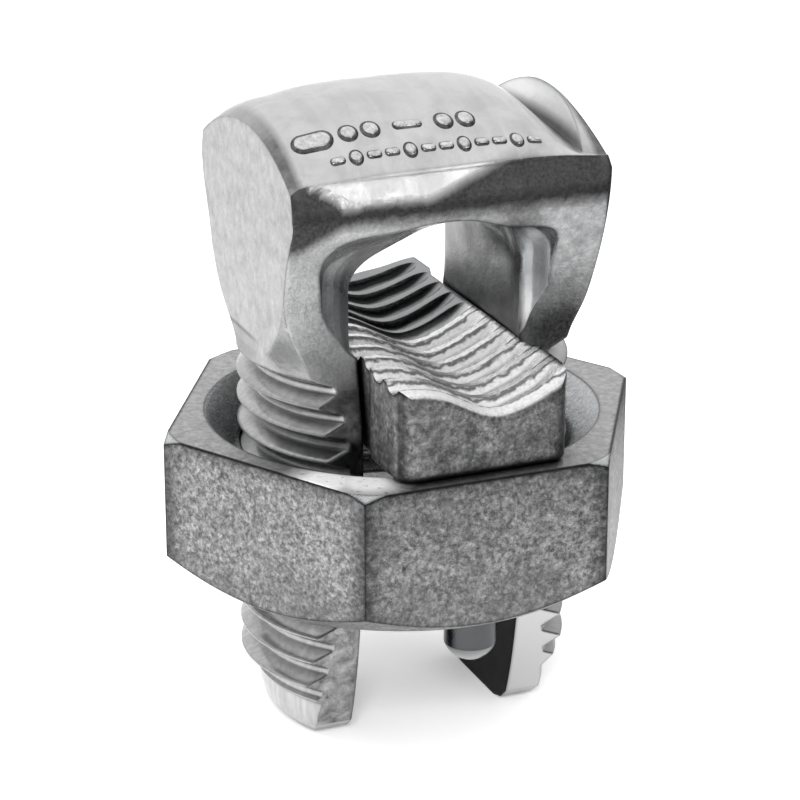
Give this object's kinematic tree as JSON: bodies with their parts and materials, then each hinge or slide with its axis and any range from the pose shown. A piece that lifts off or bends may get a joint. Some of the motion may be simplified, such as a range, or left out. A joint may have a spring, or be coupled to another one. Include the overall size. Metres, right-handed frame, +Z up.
{
  "type": "split bolt connector",
  "caption": "Split bolt connector: slotted threaded bolt with a broad head, hex nut, and a ribbed pressure bar that clamps bare conductors under the head.",
  "frame": {"origin": "on the plane of the leg tips, on the axis of the thread", "axes": "+Z up along the thread from the leg tips to the head, +X across the slot from one leg to the other, -Y the front, where the pressure bar reaches out furthest"},
  "size_m": [0.0338, 0.0292, 0.0439],
  "materials": {
    "bolt_plating": "bright grey plating over a copper alloy, satin",
    "nut_plating": "dull grey plating over a copper alloy, speckled",
    "bar_plating": "grey plating over a copper alloy, speckled"
  },
  "bodies": {
    "bolt": {"split_bolt": "bolt_plating"},
    "bar": {"pressure_bar": "bar_plating"},
    "nut": {"hex_nut": "nut_plating"}
  },
  "joints": [
    {"name": "bar_slide", "type": "slide", "parent": "bolt", "child": "bar", "axis": [0, 0, 1], "range_m": [-0.0045, 0.0036]},
    {"name": "nut_turn", "type": "hinge", "parent": "bar", "child": "nut", "pos_m": [0, 0, 0.01625], "axis": [0, 0, 1], "range_deg": [-893, 714]}
  ],
  "couplings": [
    {"joint": "bar_slide", "follows": "nut_turn", "m_per_rad": 0.00028871}
  ]
}
